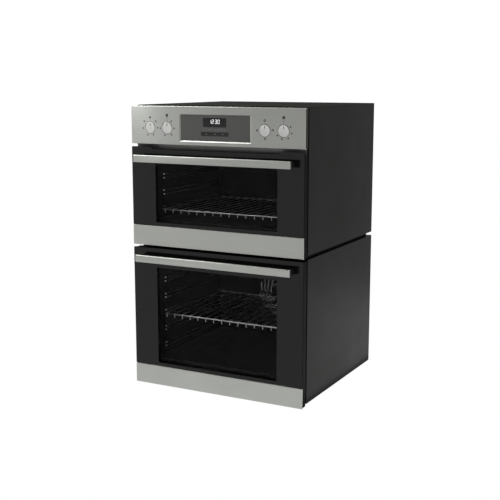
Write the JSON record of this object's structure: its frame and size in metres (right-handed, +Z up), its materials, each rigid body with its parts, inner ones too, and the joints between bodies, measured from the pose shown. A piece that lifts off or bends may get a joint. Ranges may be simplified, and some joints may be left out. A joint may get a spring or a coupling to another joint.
{
  "type": "wall oven",
  "caption": "Built-in double wall oven: low oven over tall oven, drop-down glass doors with bar handles, steel fascia with clock and retracting knobs, dark casing.",
  "frame": {"origin": "on the ground under the middle of the whole box, which runs from the front of the handles to the rear covers", "axes": "+X to the right seen from the front, +Y towards the back, +Z up"},
  "size_m": [0.594, 0.604, 0.8905],
  "materials": {
    "brushed_steel": "horizontally brushed stainless steel",
    "black_paint": "satin black painted sheet steel",
    "black_plastic": "fine-grained black moulding",
    "display_glass": "dark grey display panel",
    "circuit_board": "green circuit board",
    "galvanised_steel": "bare zinc-plated steel",
    "enamel": "glossy black vitreous enamel",
    "seal": "matt heat-proof silicone",
    "heating_element": "dull oxidised tube",
    "lamp_glass": "moulded clear glass",
    "chrome_wire": "bright chromed wire",
    "black_glass": "black printed toughened glass",
    "clear_glass": "tinted toughened glass",
    "knob_silver": "satin silver"
  },
  "bodies": {
    "casing": {"control_fascia": "brushed_steel", "front_frame": "black_paint", "top_cover": "black_paint", "upper_left_side_panel": "black_paint", "upper_right_side_panel": "black_paint", "lower_left_side_panel": "black_paint", "lower_right_side_panel": "black_paint", "upper_rear_cover": "black_paint", "lower_rear_cover": "black_paint", "middle_divider": "black_paint", "fascia_carrier": "black_plastic", "terminal_box": "black_plastic", "display_lens": "display_glass", "control_board": "circuit_board", "base_plate": "galvanised_steel", "fan_motor": "galvanised_steel", "cooling_fan_housing": "galvanised_steel", "upper_left_hinge": "galvanised_steel", "upper_right_hinge": "galvanised_steel", "lower_left_hinge": "galvanised_steel", "lower_right_hinge": "galvanised_steel", "upper_cavity": "enamel", "lower_cavity": "enamel", "fan_guard": "enamel", "upper_door_gasket": "seal", "lower_door_gasket": "seal", "grill_element": "heating_element", "ring_element": "heating_element", "upper_lamp": "lamp_glass", "lower_lamp": "lamp_glass", "upper_left_shelf_support": "chrome_wire", "upper_right_shelf_support": "chrome_wire", "lower_left_shelf_support": "chrome_wire", "lower_right_shelf_support": "chrome_wire"},
    "upper_door": {"upper_outer_glass": "black_glass", "upper_inner_glass": "clear_glass", "upper_door_trim": "brushed_steel", "upper_door_frame": "black_paint", "upper_handle_bar": "brushed_steel", "upper_handle_left_post": "black_plastic", "upper_handle_right_post": "black_plastic"},
    "lower_door": {"lower_outer_glass": "black_glass", "lower_inner_glass": "clear_glass", "lower_door_trim": "brushed_steel", "lower_door_frame": "black_paint", "lower_handle_bar": "brushed_steel", "lower_handle_left_post": "black_plastic", "lower_handle_right_post": "black_plastic"},
    "lower_oven_function_spindle": {"lower_oven_function_spindle": "galvanised_steel"},
    "lower_oven_function_knob": {"lower_oven_function_knob": "knob_silver"},
    "lower_oven_temperature_spindle": {"lower_oven_temperature_spindle": "galvanised_steel"},
    "lower_oven_temperature_knob": {"lower_oven_temperature_knob": "knob_silver"},
    "upper_oven_function_spindle": {"upper_oven_function_spindle": "galvanised_steel"},
    "upper_oven_function_knob": {"upper_oven_function_knob": "knob_silver"},
    "upper_oven_temperature_spindle": {"upper_oven_temperature_spindle": "galvanised_steel"},
    "upper_oven_temperature_knob": {"upper_oven_temperature_knob": "knob_silver"},
    "convection_fan": {"convection_fan": "galvanised_steel"},
    "cooling_fan_rotor": {"cooling_fan_rotor": "galvanised_steel"},
    "upper_wire_shelf": {"upper_wire_shelf": "chrome_wire"},
    "lower_wire_shelf": {"lower_wire_shelf": "chrome_wire"}
  },
  "joints": [
    {"name": "upper_door_hinge", "type": "hinge", "parent": "casing", "child": "upper_door", "pos_m": [0, -0.257, 0.461], "axis": [1, 0, 0], "range_deg": [0, 90], "stiffness_Nm_per_rad": 8, "springref_deg": -17.76},
    {"name": "lower_door_hinge", "type": "hinge", "parent": "casing", "child": "lower_door", "pos_m": [0, -0.257, 0.0075], "axis": [1, 0, 0], "range_deg": [0, 90], "stiffness_Nm_per_rad": 16, "springref_deg": -17.76},
    {"name": "lower_oven_function_turn", "type": "hinge", "parent": "casing", "child": "lower_oven_function_spindle", "pos_m": [-0.228, -0.244, 0.822], "axis": [0, 1, 0], "range_deg": [0, 315]},
    {"name": "lower_oven_function_pop_out", "type": "slide", "parent": "lower_oven_function_spindle", "child": "lower_oven_function_knob", "axis": [0, -1, 0], "range_m": [0, 0.014]},
    {"name": "lower_oven_temperature_turn", "type": "hinge", "parent": "casing", "child": "lower_oven_temperature_spindle", "pos_m": [-0.167, -0.244, 0.822], "axis": [0, 1, 0], "range_deg": [0, 270]},
    {"name": "lower_oven_temperature_pop_out", "type": "slide", "parent": "lower_oven_temperature_spindle", "child": "lower_oven_temperature_knob", "axis": [0, -1, 0], "range_m": [0, 0.014]},
    {"name": "upper_oven_function_turn", "type": "hinge", "parent": "casing", "child": "upper_oven_function_spindle", "pos_m": [0.167, -0.244, 0.822], "axis": [0, 1, 0], "range_deg": [0, 270]},
    {"name": "upper_oven_function_pop_out", "type": "slide", "parent": "upper_oven_function_spindle", "child": "upper_oven_function_knob", "axis": [0, -1, 0], "range_m": [0, 0.014]},
    {"name": "upper_oven_temperature_turn", "type": "hinge", "parent": "casing", "child": "upper_oven_temperature_spindle", "pos_m": [0.228, -0.244, 0.822], "axis": [0, 1, 0], "range_deg": [0, 270]},
    {"name": "upper_oven_temperature_pop_out", "type": "slide", "parent": "upper_oven_temperature_spindle", "child": "upper_oven_temperature_knob", "axis": [0, -1, 0], "range_m": [0, 0.014]},
    {"name": "convection_fan_spin", "type": "hinge", "parent": "casing", "child": "convection_fan", "pos_m": [0, 0.201, 0.235], "axis": [0, 1, 0], "continuous": true},
    {"name": "cooling_fan_spin", "type": "hinge", "parent": "casing", "child": "cooling_fan_rotor", "pos_m": [0, 0.036, 0.802], "axis": [1, 0, 0], "continuous": true},
    {"name": "upper_shelf_slide", "type": "slide", "parent": "casing", "child": "upper_wire_shelf", "axis": [0, -1, 0], "range_m": [0, 0.03]},
    {"name": "lower_shelf_slide", "type": "slide", "parent": "casing", "child": "lower_wire_shelf", "axis": [0, -1, 0], "range_m": [0, 0.03]}
  ]
}
